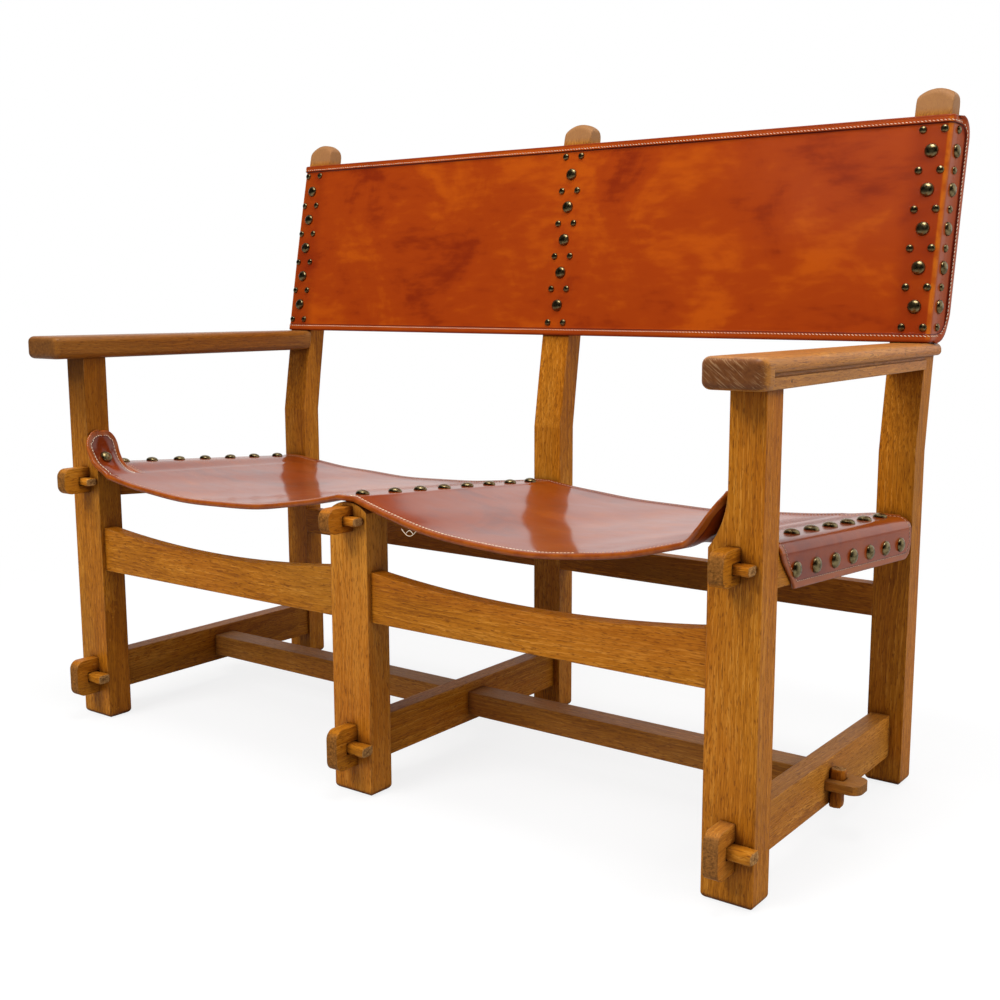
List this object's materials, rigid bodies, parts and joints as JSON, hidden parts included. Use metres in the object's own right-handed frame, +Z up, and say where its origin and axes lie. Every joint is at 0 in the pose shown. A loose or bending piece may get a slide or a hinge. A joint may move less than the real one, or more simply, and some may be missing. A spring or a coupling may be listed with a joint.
{
  "type": "mission settle",
  "caption": "Oak settle with wedged through tenons, raked back posts and a nailed saddle-leather seat and back.",
  "frame": {"origin": "on the floor under the middle of the overall width and depth", "axes": "+Z up, +Y from the front to the back, +X to the right of somebody facing the settle"},
  "size_m": [1.24, 0.6308, 0.94],
  "materials": {
    "oak": "satin",
    "wedge_oak": "rough",
    "seat_leather": "glossy",
    "back_leather": "satin",
    "nail_bronze": "polished",
    "pin_steel": "matte"
  },
  "bodies": {
    "frame": {"arm_left": "oak", "arm_pin_left": "pin_steel", "arm_pin_right": "pin_steel", "arm_right": "oak", "back_leather": "back_leather", "back_nails_large": "nail_bronze", "back_nails_small": "nail_bronze", "ear_nails": "nail_bronze", "flap_nails_large": "nail_bronze", "flap_nails_small": "nail_bronze", "front_post_centre": "oak", "front_post_left": "oak", "front_post_right": "oak", "front_rail_left": "oak", "front_rail_right": "oak", "long_stretcher": "oak", "rear_post_centre": "oak", "rear_post_left": "oak", "rear_post_right": "oak", "rear_rail_left": "oak", "rear_rail_right": "oak", "seat_leather": "seat_leather", "seat_nails_centre": "nail_bronze", "seat_nails_side": "nail_bronze", "seat_nails_top": "nail_bronze", "seat_rail_centre": "oak", "seat_rail_left": "oak", "seat_rail_right": "oak", "side_stretcher_centre": "oak", "side_stretcher_left": "oak", "side_stretcher_right": "oak"},
    "wedge_foot_centre": {"wedge_foot_centre": "wedge_oak"},
    "wedge_foot_left": {"wedge_foot_left": "wedge_oak"},
    "wedge_foot_right": {"wedge_foot_right": "wedge_oak"},
    "wedge_long_left": {"wedge_long_left": "wedge_oak"},
    "wedge_long_right": {"wedge_long_right": "wedge_oak"},
    "wedge_seat_centre": {"wedge_seat_centre": "wedge_oak"},
    "wedge_seat_left": {"wedge_seat_left": "wedge_oak"},
    "wedge_seat_right": {"wedge_seat_right": "wedge_oak"}
  },
  "joints": [
    {"name": "wedge_foot_centre_slide", "type": "slide", "parent": "frame", "child": "wedge_foot_centre", "axis": [1, 0, 0], "range_m": [0, 0.033]},
    {"name": "wedge_foot_left_slide", "type": "slide", "parent": "frame", "child": "wedge_foot_left", "axis": [1, 0, 0], "range_m": [0, 0.033]},
    {"name": "wedge_foot_right_slide", "type": "slide", "parent": "frame", "child": "wedge_foot_right", "axis": [1, 0, 0], "range_m": [0, 0.033]},
    {"name": "wedge_long_left_slide", "type": "slide", "parent": "frame", "child": "wedge_long_left", "axis": [0, 0, 1], "range_m": [0, 0.039]},
    {"name": "wedge_long_right_slide", "type": "slide", "parent": "frame", "child": "wedge_long_right", "axis": [0, 0, 1], "range_m": [0, 0.039]},
    {"name": "wedge_seat_centre_slide", "type": "slide", "parent": "frame", "child": "wedge_seat_centre", "axis": [1, 0, 0], "range_m": [0, 0.031]},
    {"name": "wedge_seat_left_slide", "type": "slide", "parent": "frame", "child": "wedge_seat_left", "axis": [1, 0, 0], "range_m": [0, 0.031]},
    {"name": "wedge_seat_right_slide", "type": "slide", "parent": "frame", "child": "wedge_seat_right", "axis": [1, 0, 0], "range_m": [0, 0.031]}
  ]
}
